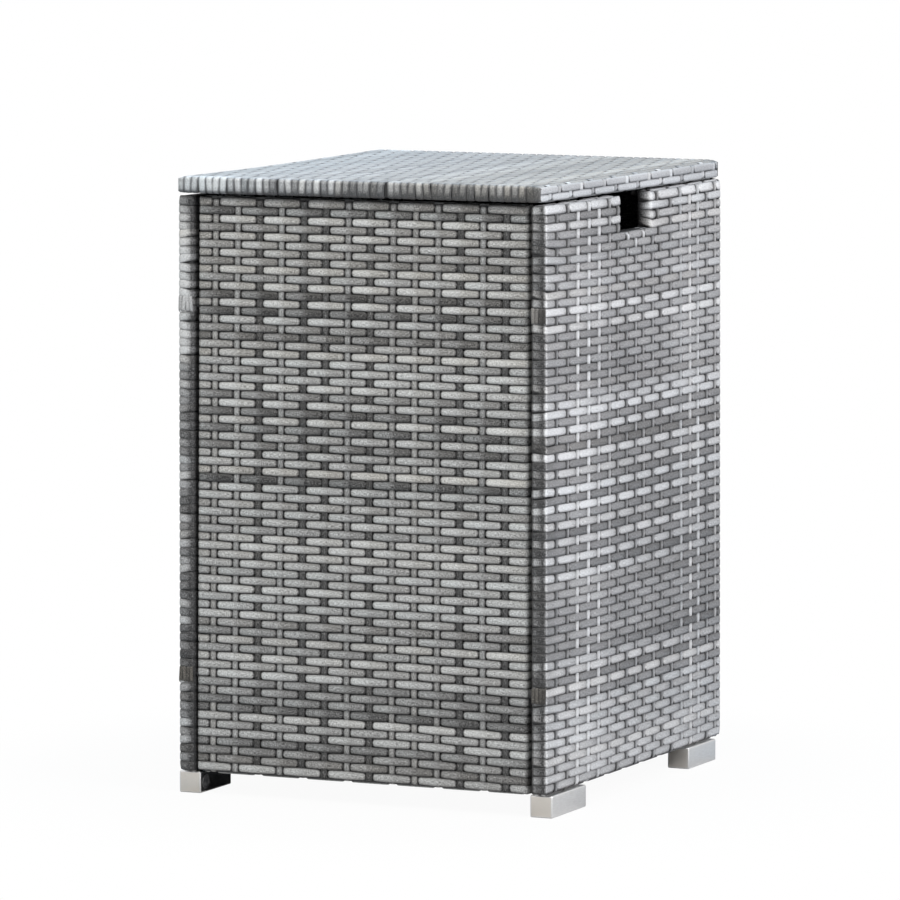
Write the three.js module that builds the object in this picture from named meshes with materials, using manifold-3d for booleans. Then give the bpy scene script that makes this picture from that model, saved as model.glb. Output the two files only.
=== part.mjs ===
// Propane tank cover table: four woven panels bolted into an open box that stands over a
// tank, a hose notch in the right panel, four metal feet and a lift-off woven lid.
// Millimetres. X runs to the right along the front, Y to the back, Z up from the ground.

import * as THREE from 'three';
import { mergeVertices } from 'three/addons/utils/BufferGeometryUtils.js';
import Module from 'manifold-3d';

const wasm = await Module();
wasm.setup();

// Driving sizes of the body
const bodyWidth = 400;
const bodyDepth = 450;
const panelHeight = 578;
const frontRecess = 4;
const panelGap = 4;
const clearance = 0.3;
const roundSides = 12;
const fastenerSides = 8;

// Tube frame and woven skin
const tubeSize = 12.7;
const tubeWall = 1.2;
const faceThickness = 2.2;
const wrapThickness = 1.5;
const edgeRadius = 4;
const panelRows = 68;
const grooveDepth = 0.8;
const grooveFlank = 1.2;

// Hose notch in the top edge of the right panel
const notchWidth = 76;
const notchDepth = 35;
const notchMouthRadius = 4;
const notchFloorRadius = 3;

// Lid: narrower than the body at each side, and standing past its front and back
const lidSideInset = 4;
const lidOverhang = 4;
const lidRows = 50;
const lidStandoff = 3;
const lidShift = 1.8;
const padRadius = 5;
const padInset = 8;
const padFromEnd = 80;
const padChamfer = 0.5;

// Feet
const footHeight = 22;
const footWidth = 22.4;
const footLength = 76;
const footSetbackFront = 8;
const footSetbackBack = 16;
const footRadius = 1.2;
const footPlugRadius = 7.5;
const footPlugDepth = 1.5;
const footPlugInset = 11;

// Fasteners
const boltRadius = 2.5;
const boltHeadRadius = 4;
const boltHeadHeight = 4;
const boltSocketRadius = 2.2;
const boltSocketDepth = 2.4;
const boltReach = 7;
const boltFromTop = 107;
const boltFromBottom = 99;
const spacerRadius = 5.5;
const screwRadius = 2.5;
const screwHeadRadius = 5;
const screwHeadHeight = 3;
const screwSocketRadius = 1.8;
const screwSocketDepth = 1.6;
const screwBoreDepth = 7;
const screwReach = 8;

// Places that follow from the sizes above
const overrun = clearance * 10;
const wrapOffset = wrapThickness + clearance;
const tubeFront = faceThickness + clearance;
const tubeCentre = tubeFront + tubeSize / 2;
const panelThickness = tubeFront + tubeSize + wrapOffset;
const frontWidth = bodyWidth - 2 * panelThickness - 2 * panelGap;
const bodyBottom = footHeight + clearance;
const bodyTop = bodyBottom + panelHeight;
const lidWidth = bodyWidth - 2 * lidSideInset;
const lidDepth = bodyDepth + 2 * lidOverhang;
const lidBottom = bodyTop + lidStandoff;

const strand = new THREE.MeshStandardMaterial({ color: 0x9c9c98, roughness: 0.55, metalness: 0 });
const lidStrand = new THREE.MeshStandardMaterial({ color: 0xaeb2b6, roughness: 0.5, metalness: 0 });
const tubePaint = new THREE.MeshStandardMaterial({ color: 0x3c3c3c, roughness: 0.5, metalness: 0.3 });
const footMetal = new THREE.MeshStandardMaterial({ color: 0xc4c2bc, roughness: 0.35, metalness: 1 });
const fastenerSteel = new THREE.MeshStandardMaterial({ color: 0xb8bac0, roughness: 0.3, metalness: 1 });
const spacerPlastic = new THREE.MeshStandardMaterial({ color: 0x222222, roughness: 0.6, metalness: 0 });
const padRubber = new THREE.MeshStandardMaterial({ color: 0x1a1a1a, roughness: 0.8, metalness: 0 });

// Solids for cutting: a closed geometry becomes a solid once its shared corners are merged.
function toSolid(geometry) {
  const bare = geometry.clone();
  bare.deleteAttribute('normal');
  bare.deleteAttribute('uv');
  const merged = mergeVertices(bare);
  return new wasm.Manifold(new wasm.Mesh({
    numProp: 3,
    vertProperties: merged.attributes.position.array,
    triVerts: new Uint32Array(merged.index.array),
  }));
}

function toGeometry(solid) {
  const mesh = solid.getMesh();
  const geometry = new THREE.BufferGeometry();
  geometry.setAttribute('position', new THREE.BufferAttribute(mesh.vertProperties, mesh.numProp));
  geometry.setIndex(new THREE.BufferAttribute(mesh.triVerts, 1));
  const faceted = geometry.toNonIndexed();
  faceted.computeVertexNormals();
  return faceted;
}

function addMesh(group, name, geometry, material) {
  const mesh = new THREE.Mesh(geometry, material);
  mesh.name = name;
  group.add(mesh);
  return mesh;
}

// A rectangle with round corners, from (left, bottom) to (right, top).
function roundedShape(left, bottom, right, top, radius) {
  const shape = new THREE.Shape();
  shape.moveTo(left + radius, bottom);
  shape.lineTo(right - radius, bottom);
  shape.absarc(right - radius, bottom + radius, radius, -Math.PI / 2, 0, false);
  shape.lineTo(right, top - radius);
  shape.absarc(right - radius, top - radius, radius, 0, Math.PI / 2, false);
  shape.lineTo(left + radius, top);
  shape.absarc(left + radius, top - radius, radius, Math.PI / 2, Math.PI, false);
  shape.lineTo(left, bottom + radius);
  shape.absarc(left + radius, bottom + radius, radius, Math.PI, 1.5 * Math.PI, false);
  return shape;
}

function rectangle(left, bottom, right, top) {
  return new THREE.Shape([
    new THREE.Vector2(left, bottom),
    new THREE.Vector2(right, bottom),
    new THREE.Vector2(right, top),
    new THREE.Vector2(left, top),
  ]);
}

function extrude(shape, depth, curveSegments = 2) {
  return new THREE.ExtrudeGeometry(shape, { depth, bevelEnabled: false, curveSegments });
}

// Drawn on X and Z, as seen from the outside, and filled from y = near to y = far.
function slab(shape, near, far) {
  return extrude(shape, far - near).rotateX(Math.PI / 2).translate(0, far, 0);
}

// Drawn on Y and Z, and filled along X over the width, centred.
function barAlongX(shape, width) {
  const turn = new THREE.Matrix4().makeBasis(
    new THREE.Vector3(0, 1, 0),
    new THREE.Vector3(0, 0, 1),
    new THREE.Vector3(1, 0, 0),
  );
  return extrude(shape, width).applyMatrix4(turn).translate(-width / 2, 0, 0);
}

// A round bar along X, from x = from to x = to.
function pinAlongX(radius, from, to, y, z) {
  const pin = new THREE.CylinderGeometry(radius, radius, to - from, roundSides);
  return pin.rotateZ(Math.PI / 2).translate((from + to) / 2, y, z);
}

function pinAlongZ(radius, from, to, x, y) {
  const pin = new THREE.CylinderGeometry(radius, radius, to - from, roundSides);
  return pin.rotateX(Math.PI / 2).translate(x, y, (from + to) / 2);
}

// Woven skin. Each panel is drawn standing up: x across, z from its bottom edge, its outer
// face at y = 0 looking towards -Y. The weft courses lie across it as flat-crested ribs.
function courseProfile(height, thickness, rows) {
  const pitch = height / rows;
  const points = [new THREE.Vector2(thickness, 0)];
  points.push(new THREE.Vector2(thickness, height));
  for (let row = rows - 1; row >= 0; row -= 1) {
    points.push(new THREE.Vector2(grooveDepth, (row + 1) * pitch));
    points.push(new THREE.Vector2(0, (row + 1) * pitch - grooveFlank));
    points.push(new THREE.Vector2(0, row * pitch + grooveFlank));
  }
  points.push(new THREE.Vector2(grooveDepth, 0));
  return new THREE.Shape(points);
}

// Outline of a panel with a notch in its top edge. The inset moves it inwards all round.
function notchedShape(width, height, notch, inset) {
  const right = width / 2 - inset;
  const top = height - inset;
  const half = notch.width / 2 + inset;
  const floor = height - notch.depth - inset;
  const mouth = Math.max(notchMouthRadius - inset, clearance);
  const corner = notchFloorRadius + inset;
  const shape = new THREE.Shape();
  shape.moveTo(-right, inset);
  shape.lineTo(right, inset);
  shape.lineTo(right, top);
  shape.lineTo(half + mouth, top);
  shape.absarc(half + mouth, top - mouth, mouth, Math.PI / 2, Math.PI, false);
  shape.lineTo(half, floor + corner);
  shape.absarc(half - corner, floor + corner, corner, 0, -Math.PI / 2, true);
  shape.lineTo(-half + corner, floor);
  shape.absarc(-half + corner, floor + corner, corner, -Math.PI / 2, -Math.PI, true);
  shape.lineTo(-half, top - mouth);
  shape.absarc(-half - mouth, top - mouth, mouth, 0, Math.PI / 2, false);
  shape.lineTo(-right, top);
  return shape;
}

function panelShape(width, height, notch, inset) {
  if (notch) {
    return notchedShape(width, height, notch, inset);
  }
  return rectangle(-width / 2 + inset, inset, width / 2 - inset, height - inset);
}

function wovenSkin(width, height, rows, notch) {
  const thickness = panelThickness;
  const back = thickness - wrapThickness;
  const window = wrapOffset + tubeSize;
  const ribbed = toSolid(barAlongX(courseProfile(height, thickness, rows), width));
  const longEdges = toSolid(barAlongX(roundedShape(0, 0, thickness, height, edgeRadius), width));
  const plan = roundedShape(-width / 2, 0, width / 2, thickness, edgeRadius);
  const upEdges = toSolid(extrude(plan, height));
  const outline = notch ? panelShape(width, height, notch, 0)
    : roundedShape(-width / 2, 0, width / 2, height, edgeRadius);
  const face = toSolid(slab(outline, 0, thickness));
  const channel = toSolid(slab(panelShape(width, height, notch, wrapThickness), faceThickness, back));
  const opening = toSolid(slab(panelShape(width, height, notch, window), faceThickness, thickness + overrun));
  return ribbed.intersect(longEdges).intersect(upEdges).intersect(face)
    .subtract(channel).subtract(opening);
}

// Frame tube with open ends, standing on z = 0 and centred on its own axis.
function squareTube(length) {
  const half = tubeSize / 2;
  const inner = half - tubeWall;
  const shape = rectangle(-half, -half, half, half);
  shape.holes.push(new THREE.Path([
    new THREE.Vector2(-inner, -inner),
    new THREE.Vector2(-inner, inner),
    new THREE.Vector2(inner, inner),
    new THREE.Vector2(inner, -inner),
  ]));
  return extrude(shape, length);
}

function uprightTube(length, x, z) {
  return squareTube(length).translate(x, tubeCentre, z);
}

function levelTube(length, x, z) {
  return squareTube(length).rotateY(Math.PI / 2).translate(x, tubeCentre, z);
}

function cutAll(geometry, cutters) {
  let solid = toSolid(geometry);
  for (const cutter of cutters) {
    solid = solid.subtract(toSolid(cutter));
  }
  return toGeometry(solid);
}

// The saddle is one tube bent down, under the notch and up again. The panel's outline rounds
// its two upper ends.
function notchSaddle(width, height, notch) {
  const half = notch.width / 2 + wrapOffset;
  const top = height - wrapOffset;
  const floor = height - notch.depth - wrapOffset;
  const band = (inner, outer, lift) => new THREE.Shape([
    new THREE.Vector2(-half - outer, top + lift),
    new THREE.Vector2(-half - outer, floor - outer),
    new THREE.Vector2(half + outer, floor - outer),
    new THREE.Vector2(half + outer, top + lift),
    new THREE.Vector2(half + inner, top + lift),
    new THREE.Vector2(half + inner, floor - inner),
    new THREE.Vector2(-half - inner, floor - inner),
    new THREE.Vector2(-half - inner, top + lift),
  ]);
  const outline = panelShape(width, height, notch, wrapOffset);
  const outer = toSolid(slab(band(0, tubeSize, 0), tubeFront, tubeFront + tubeSize))
    .intersect(toSolid(slab(outline, tubeFront, tubeFront + tubeSize)));
  const bore = toSolid(slab(
    band(tubeWall, tubeSize - tubeWall, overrun),
    tubeFront + tubeWall,
    tubeFront + tubeSize - tubeWall,
  ));
  return toGeometry(outer.subtract(bore));
}

// Heights of the bolts, from the bottom edge of a panel
const boltHeights = { top: panelHeight - boltFromTop, bottom: boltFromBottom };

// The bolts cross the tube of a front or back panel and the tube of a side panel where the
// two lie side by side, so their depth is the middle of the stretch that both tubes share.
const sideTubeNear = wrapOffset;
const frontTubeNear = frontRecess + tubeFront;
const boltDepth = (Math.max(sideTubeNear, frontTubeNear)
  + Math.min(sideTubeNear, frontTubeNear) + tubeSize) / 2;
const boltHole = boltRadius + clearance;

// One panel: its skin and the tubes that carry it. stileHoles go through the uprights and
// railHoles through the bottom rail, and both go through the skin as well.
function addPanel(group, panel) {
  const { name, width, height, rows, notch, ends, material } = panel;
  const reach = width / 2 - wrapOffset;
  const stileX = reach - tubeSize / 2;
  const railHalf = reach - tubeSize - clearance;
  const low = wrapOffset + tubeSize / 2;
  const high = height - low;
  let skin = wovenSkin(width, height, rows, notch);
  for (const cutter of [...panel.stileHoles, ...panel.railHoles]) {
    skin = skin.subtract(toSolid(cutter));
  }
  addMesh(group, `${name}_weave`, toGeometry(skin), material);
  const stileLength = height - 2 * wrapOffset;
  for (const [side, end] of [[-1, ends[0]], [1, ends[1]]]) {
    const stile = uprightTube(stileLength, side * stileX, wrapOffset);
    addMesh(group, `${name}_${panel.stile}_${end}`, cutAll(stile, panel.stileHoles), tubePaint);
  }
  const bottom = levelTube(2 * railHalf, -railHalf, low);
  addMesh(group, `${name}_${panel.rail}_${panel.railEnds[0]}`, cutAll(bottom, panel.railHoles), tubePaint);
  if (notch) {
    const saddleHalf = notch.width / 2 + wrapOffset + tubeSize + clearance;
    const length = railHalf - saddleHalf;
    addMesh(group, `${name}_rail_top_${ends[0]}`, levelTube(length, -railHalf, high), tubePaint);
    addMesh(group, `${name}_rail_top_${ends[1]}`, levelTube(length, saddleHalf, high), tubePaint);
    addMesh(group, `${name}_notch_saddle`, notchSaddle(width, height, notch), tubePaint);
  } else {
    const top = levelTube(2 * railHalf, -railHalf, high);
    addMesh(group, `${name}_${panel.rail}_${panel.railEnds[1]}`, top, tubePaint);
  }
}

// Holes in the uprights of a front or back panel, right through both of them.
function throughHoles(width) {
  return Object.values(boltHeights).map(
    (z) => pinAlongX(boltHole, -width / 2 - overrun, width / 2 + overrun, boltDepth - frontRecess, z),
  );
}

// Holes in the inner wall of a side panel's uprights, where the bolts screw in. They run
// along the panel's own Y.
function sideHoles() {
  const from = tubeFront + tubeSize - boltReach - overrun;
  const to = panelThickness + overrun;
  const holes = [];
  for (const x of [-bodyDepth / 2 + boltDepth, bodyDepth / 2 - boltDepth]) {
    for (const z of Object.values(boltHeights)) {
      const pin = new THREE.CylinderGeometry(boltHole, boltHole, to - from, roundSides);
      holes.push(pin.translate(x, (from + to) / 2, z));
    }
  }
  return holes;
}

// Holes up through the bottom edge of a side panel, for the foot screws. The direction is 1
// where the panel's own X runs to the back of the body, and -1 where it runs to the front.
const footCentres = {
  front: -bodyDepth / 2 + footSetbackFront + footLength / 2,
  back: bodyDepth / 2 - footSetbackBack - footLength / 2,
};
function footHoles(direction) {
  const top = wrapOffset + tubeWall + overrun;
  return Object.values(footCentres).map(
    (y) => pinAlongZ(screwRadius + clearance, -overrun, top, direction * y, tubeCentre),
  );
}

const uprightPanel = {
  height: panelHeight,
  rows: panelRows,
  stile: 'stile',
  rail: 'rail',
  railEnds: ['bottom', 'top'],
  material: strand,
  stileHoles: [],
  railHoles: [],
};

function frontPanel(name) {
  const group = new THREE.Group();
  addPanel(group, {
    ...uprightPanel, name, width: frontWidth, ends: ['left', 'right'], stileHoles: throughHoles(frontWidth),
  });
  return group;
}

function sidePanel(name, ends, notch) {
  const group = new THREE.Group();
  const direction = ends[0] === 'front' ? 1 : -1;
  addPanel(group, {
    ...uprightPanel,
    name,
    width: bodyDepth,
    ends,
    notch,
    stileHoles: sideHoles(),
    railHoles: footHoles(direction),
  });
  return group;
}

// Bolt along +X: the head bears on the inner side of the panel's upright, the shank crosses
// the gap and ends inside the side panel's upright. x = 0 is under the head.
function boltGeometry() {
  const length = tubeSize + wrapOffset + panelGap + wrapOffset + boltReach;
  const points = [
    [0, -boltHeadHeight + boltSocketDepth],
    [boltSocketRadius, -boltHeadHeight + boltSocketDepth],
    [boltSocketRadius, -boltHeadHeight],
    [boltHeadRadius - boltHeadHeight / 4, -boltHeadHeight],
    [boltHeadRadius, -boltHeadHeight * 3 / 4],
    [boltHeadRadius, 0],
    [boltRadius, 0],
    [boltRadius, length - boltRadius / 2],
    [boltRadius / 2, length],
    [0, length],
  ].map(([r, y]) => new THREE.Vector2(r, y));
  return new THREE.LatheGeometry(points, fastenerSides).rotateZ(-Math.PI / 2);
}

function spacerGeometry() {
  const half = panelGap / 2 - clearance;
  const points = [
    [boltHole, -half], [spacerRadius, -half], [spacerRadius, half], [boltHole, half], [boltHole, -half],
  ].map(([r, y]) => new THREE.Vector2(r, y));
  return new THREE.LatheGeometry(points, roundSides).rotateZ(-Math.PI / 2);
}

function addFasteners(group) {
  const headX = frontWidth / 2 - wrapOffset - tubeSize - clearance;
  const gapX = frontWidth / 2 + panelGap / 2;
  const depths = { front: -bodyDepth / 2 + boltDepth, back: bodyDepth / 2 - boltDepth };
  for (const [face, y] of Object.entries(depths)) {
    for (const [side, turn] of [['left', Math.PI], ['right', 0]]) {
      for (const [level, height] of Object.entries(boltHeights)) {
        const sign = Math.cos(turn);
        const bolt = addMesh(group, `bolt_${face}_${side}_${level}`, boltGeometry(), fastenerSteel);
        bolt.position.set(sign * headX, y, bodyBottom + height);
        bolt.rotation.z = turn;
        const ring = addMesh(group, `spacer_${face}_${side}_${level}`, spacerGeometry(), spacerPlastic);
        ring.position.set(sign * gapX, y, bodyBottom + height);
        ring.rotation.z = turn;
      }
    }
  }
}

// Foot: a metal block, centred on its own middle and standing on z = 0, with a stepped bore
// for its screw and a shallow round plug recess in the side that looks into the cover. The
// plug lies near the foot's own low Y end where plugEnd is -1, and near the other where it is 1.
function footGeometry(plugEnd) {
  const half = footLength / 2;
  const plan = roundedShape(-footWidth / 2, -half, footWidth / 2, half, footRadius);
  const side = roundedShape(-half, 0, half, footHeight, footRadius);
  const front = roundedShape(-footWidth / 2, 0, footWidth / 2, footHeight, footRadius);
  const screwX = panelThickness / 2 - tubeCentre;
  const inner = -footWidth / 2;
  const block = toSolid(extrude(plan, footHeight))
    .intersect(toSolid(barAlongX(side, footWidth)))
    .intersect(toSolid(slab(front, -half, half)));
  const bore = toSolid(pinAlongZ(screwHeadRadius + clearance, -overrun, screwBoreDepth, screwX, 0));
  const hole = toSolid(pinAlongZ(screwRadius + clearance, 0, footHeight + overrun, screwX, 0));
  const plugY = plugEnd * (half - footPlugInset);
  const plug = toSolid(pinAlongX(footPlugRadius, inner - overrun, inner + footPlugDepth, plugY, footHeight / 2));
  return toGeometry(block.subtract(bore).subtract(hole).subtract(plug));
}

// Foot screw, head down, z = 0 under the head.
function footScrewGeometry() {
  const length = footHeight - screwBoreDepth + wrapOffset + tubeWall + screwReach;
  const points = [
    [0, -screwHeadHeight + screwSocketDepth],
    [screwSocketRadius, -screwHeadHeight + screwSocketDepth],
    [screwSocketRadius, -screwHeadHeight],
    [screwHeadRadius, -screwHeadHeight],
    [screwHeadRadius, 0],
    [screwRadius, 0],
    [screwRadius, length - screwRadius],
    [0, length],
  ].map(([r, y]) => new THREE.Vector2(r, y));
  return new THREE.LatheGeometry(points, fastenerSides).rotateX(Math.PI / 2);
}

function addFeet(group) {
  const footX = bodyWidth / 2 - panelThickness / 2;
  const screwX = bodyWidth / 2 - tubeCentre;
  for (const [side, sx] of [['left', -1], ['right', 1]]) {
    for (const [end, sy] of [['front', -1], ['back', 1]]) {
      const foot = addMesh(group, `foot_${end}_${side}`, footGeometry(sx * sy), footMetal);
      foot.position.set(sx * footX, footCentres[end], 0);
      foot.rotation.z = sx > 0 ? 0 : Math.PI;
      const screw = addMesh(group, `foot_screw_${end}_${side}`, footScrewGeometry(), fastenerSteel);
      screw.position.set(sx * screwX, footCentres[end], screwBoreDepth - clearance);
    }
  }
}

// Lid: the same kind of panel lying flat, its courses running front to back.
function addLid(group) {
  const lid = new THREE.Group();
  addPanel(lid, {
    ...uprightPanel,
    name: 'lid',
    width: lidDepth,
    height: lidWidth,
    rows: lidRows,
    ends: ['front', 'back'],
    stile: 'bar',
    rail: 'bar',
    railEnds: ['right', 'left'],
    material: lidStrand,
  });
  const crossLength = lidWidth - 2 * (wrapOffset + tubeSize + clearance);
  addMesh(lid, 'lid_cross_bar', uprightTube(crossLength, 0, wrapOffset + tubeSize + clearance), tubePaint);
  const turn = new THREE.Matrix4().makeBasis(
    new THREE.Vector3(0, 1, 0),
    new THREE.Vector3(0, 0, -1),
    new THREE.Vector3(-1, 0, 0),
  );
  lid.quaternion.setFromRotationMatrix(turn);
  lid.position.set(lidWidth / 2 - lidShift, 0, lidBottom + panelThickness);
  group.add(lid);
}

function padGeometry() {
  const height = lidStandoff - 2 * clearance;
  const points = [
    [0, 0],
    [padRadius - padChamfer, 0],
    [padRadius, padChamfer],
    [padRadius, height],
    [0, height],
  ].map(([r, y]) => new THREE.Vector2(r, y));
  return new THREE.LatheGeometry(points, roundSides).rotateX(Math.PI / 2);
}

function addPads(group) {
  for (const [side, sx] of [['left', -1], ['right', 1]]) {
    for (const [end, sy] of [['front', -1], ['back', 1]]) {
      const pad = addMesh(group, `lid_pad_${end}_${side}`, padGeometry(), padRubber);
      const x = sx * (lidWidth / 2 - padInset) - lidShift;
      pad.position.set(x, sy * (lidDepth / 2 - padFromEnd), bodyTop + clearance);
    }
  }
}

// Assembly
const group = new THREE.Group();
const front = frontPanel('front');
front.position.set(0, -bodyDepth / 2 + frontRecess, bodyBottom);
const back = frontPanel('back');
back.position.set(0, bodyDepth / 2 - frontRecess, bodyBottom);
back.rotation.z = Math.PI;
const right = sidePanel('right', ['front', 'back'], { width: notchWidth, depth: notchDepth });
right.position.set(bodyWidth / 2, 0, bodyBottom);
right.rotation.z = Math.PI / 2;
const left = sidePanel('left', ['back', 'front'], null);
left.position.set(-bodyWidth / 2, 0, bodyBottom);
left.rotation.z = -Math.PI / 2;
group.add(front, back, right, left);
addFasteners(group);
addFeet(group);
addLid(group);
addPads(group);

export default group;
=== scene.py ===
import math

import bpy
import numpy as np
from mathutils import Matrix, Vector


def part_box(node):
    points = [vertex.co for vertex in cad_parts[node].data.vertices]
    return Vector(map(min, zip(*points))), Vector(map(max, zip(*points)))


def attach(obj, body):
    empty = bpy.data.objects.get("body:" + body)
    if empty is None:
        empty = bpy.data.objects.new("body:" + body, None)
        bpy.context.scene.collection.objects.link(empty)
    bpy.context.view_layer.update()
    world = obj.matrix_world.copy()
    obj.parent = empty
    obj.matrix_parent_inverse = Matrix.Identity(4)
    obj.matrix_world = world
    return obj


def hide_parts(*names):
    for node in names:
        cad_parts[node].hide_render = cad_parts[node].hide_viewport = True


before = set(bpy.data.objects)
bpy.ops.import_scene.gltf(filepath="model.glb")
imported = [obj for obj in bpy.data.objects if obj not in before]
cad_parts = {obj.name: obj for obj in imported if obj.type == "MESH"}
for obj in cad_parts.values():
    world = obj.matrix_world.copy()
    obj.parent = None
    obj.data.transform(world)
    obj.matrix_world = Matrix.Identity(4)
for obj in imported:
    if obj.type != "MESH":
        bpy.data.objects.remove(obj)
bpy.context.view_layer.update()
mm = 0.001


# Frame tubes. Each panel is a rectangle of half-inch square steel tube, welded at the corners
# and powder-coated dark grey before it is woven over. The right side's top rail dips under the
# hose notch as a bent saddle, and a cross bar stiffens the lid.
def add_node(tree, kind, sockets=None, **options):
    """A new shader node. sockets gives its inputs, by name or number, each as a value or as the
    output that feeds it, and options are the node's own settings."""
    node = tree.nodes.new(f"ShaderNode{kind}")
    for option, value in options.items():
        setattr(node, option, value)
    for socket, value in (sockets or {}).items():
        if isinstance(value, bpy.types.NodeSocket):
            tree.links.new(value, node.inputs[socket])
        else:
            node.inputs[socket].default_value = value
    return node


def noise(tree, places, scale, detail, rough=0.55):
    sockets = {"Vector": places, "Scale": scale, "Detail": detail, "Roughness": rough}
    return add_node(tree, "TexNoise", sockets).outputs["Fac"]


def new_material(name, metallic, specular=0.5):
    material = bpy.data.materials.new(name)
    material.use_nodes = True
    shader = material.node_tree.nodes["Principled BSDF"]
    shader.inputs["Metallic"].default_value = metallic
    shader.inputs["Specular IOR Level"].default_value = specular
    return material, material.node_tree, shader


def spread(tree, source, low, high, first=0.0, last=1.0, **options):
    """A number from first to last becomes one from low to high."""
    sockets = {"Value": source, "From Min": first, "From Max": last, "To Min": low, "To Max": high}
    return add_node(tree, "MapRange", sockets, **options).outputs["Result"]


def ramp(tree, source, stops):
    """Colours over 0 to 1, each stop as (place, (r, g, b))."""
    node = add_node(tree, "ValToRGB", {"Fac": source})
    first, last = node.color_ramp.elements[0], node.color_ramp.elements[1]
    first.position, first.color = stops[0][0], (*stops[0][1], 1)
    last.position, last.color = stops[-1][0], (*stops[-1][1], 1)
    for place, colour in stops[1:-1]:
        node.color_ramp.elements.new(place).color = (*colour, 1)
    return node.outputs["Color"]


def finish_skin(tree, shader, colour, rough, relief):
    """Joins a colour, a roughness as (noise, low, high) and fine relief as (noise, strength,
    height) to the shader."""
    tree.links.new(colour, shader.inputs["Base Color"])
    tree.links.new(spread(tree, *rough), shader.inputs["Roughness"])
    bump = add_node(tree, "Bump", dict(zip(("Height", "Strength", "Distance"), relief)))
    tree.links.new(bump.outputs["Normal"], shader.inputs["Normal"])


def object_places(tree, stretch=(1, 1, 1)):
    where = add_node(tree, "TexCoord").outputs["Object"]
    return add_node(tree, "Mapping", {"Vector": where, "Scale": stretch}).outputs["Vector"]


def powder_coat():
    material, tree, shader = new_material("tube_powder_coat", 0.0, 0.4)
    places = object_places(tree)
    peel, dust = noise(tree, places, 900, 2), noise(tree, places, 60, 5)
    colour = ramp(tree, dust, [(0.3, (0.018, 0.018, 0.019)), (0.75, (0.04, 0.04, 0.041))])
    finish_skin(tree, shader, colour, (dust, 0.42, 0.6), (peel, 0.25, 0.2 * mm))
    return material


def dress(words, material):
    """CAD nodes with one of these words in their names keep their shape and take a material."""
    for cad_name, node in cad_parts.items():
        if any(word in cad_name for word in words):
            node.data.materials.clear()
            node.data.materials.append(material)


dress(("stile", "rail", "bar", "saddle"), powder_coat())


# Front panel. Flat half-round resin strand, 7 mm wide, is woven plain over the tube frame: 14
# upright warps, and 68 level wefts that wrap round the uprights and are stapled behind. The
# strand comes in mixed greys, and each length keeps its own.
def measured(node_name):
    """A CAD node's low corner, high corner and size in metres, to 0.01 mm."""
    low, high = [np.round(np.array(corner, float), 5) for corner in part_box(node_name)]
    return low, high, np.round(high - low, 5)


(_, front_face, body_bottom), _, (front_width, thickness, panel_height) = measured("front_weave")
radius = 4 * mm  # of a panel's rounded edges
lap = 16.4 * mm  # how far a strand's ends reach in behind the panel
weft_thick, warp_thick = 2.3 * mm, 1.1 * mm
row_count, rows_above_split = 68, 34  # in an upper and a lower piece
top_pitch, pitch_growth = 8.2 * mm, 0.0037 * mm

# The strand's half-round section in half widths and half thicknesses, and how much darker than
# its crown each point of it is painted, as shade on its sides and foot. Above foot_top it grows
# narrower where the strand dives.
strand_ring = np.array([(1, -.6), (.95, .02), (.77, .6), (.4, .93), (-.4, .93), (-.77, .6),
                        (-.95, .02), (-1, -.6), (-.7, -1), (.7, -1)])
ring_painted_shade = np.array([-.75, -.6, -.18, .03, .03, -.18, -.6, -.75, -.75, -.75])
foot_top, ring_step = -0.55, 1.7 * mm

# How a weft lies, and how much darker it is where it dives and behind the panel.
weft_depth = 1.1 * mm  # its middle below the panel's face
edge_rise = 0.42 * mm  # less than that round an edge, where it is drawn tight
dive_depth, neck_depth = 1.7 * mm, 1.2 * mm  # more under a warp, and where its crown narrows
patch_depth, end_depth = 0.9 * mm, 2.4 * mm  # more under a patch beside a bolt, and at its ends
roll_depth, roll_drop = 3.0 * mm, 0.6 * mm  # more, and lower, where it rolls to a rim
ripple, unevenness = 0.09 * mm, 0.05 * mm  # up and down along its run, and from weft to weft
settle = 12 * mm  # the run in which it comes straight after an edge
dive_clear = 6 * mm  # the least run from an edge to a dive
end_run = 3 * mm  # the run in which it bends at its ends
full_crown = 0.99  # how much of its width the crown takes at most
dive_shade, hidden_shade = 0.75, 0.8
near_edge, far_edge = (2, 3), (6, 7)  # their places in wrap_knots


def wrap_knots(length):
    """A strand runs from behind one edge of a panel, round that edge, over the face and round
    the other edge. These are the ten arc lengths at which straights and bends meet: 2 to 3 is
    the near edge, 4 to 5 the face and 6 to 7 the far edge."""
    runs = [lap - radius, math.pi / 2 * radius, thickness - 2 * radius, math.pi / 2 * radius]
    return np.cumsum([0, *runs, length - 2 * radius, *runs[::-1]])


def wrap_path(length, s):
    """Where such a strand is at arc lengths s: the place along the panel, the depth below its
    face, and the two parts of the outward normal."""
    knots, far, deep = wrap_knots(length), length - radius, thickness - radius
    along = np.interp(s, knots, [lap, radius, radius, radius, radius, far, far, far, far, length - lap])
    depth = np.interp(s, knots, [deep, deep, deep, radius, radius, radius, radius, deep, deep, deep])
    turn = np.interp(s, knots, np.radians([90, 90, 180, 180, 270, 270, 360, 360, 450, 450]))
    return along + radius * np.cos(turn), depth + radius * np.sin(turn), np.cos(turn), np.sin(turn)


def vectors(x, y, z):
    return np.stack(np.broadcast_arrays(x, y, z), -1)


def add_object(name, data):
    added = bpy.data.objects.new(name, data)
    bpy.context.scene.collection.objects.link(added)
    return added


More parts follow.
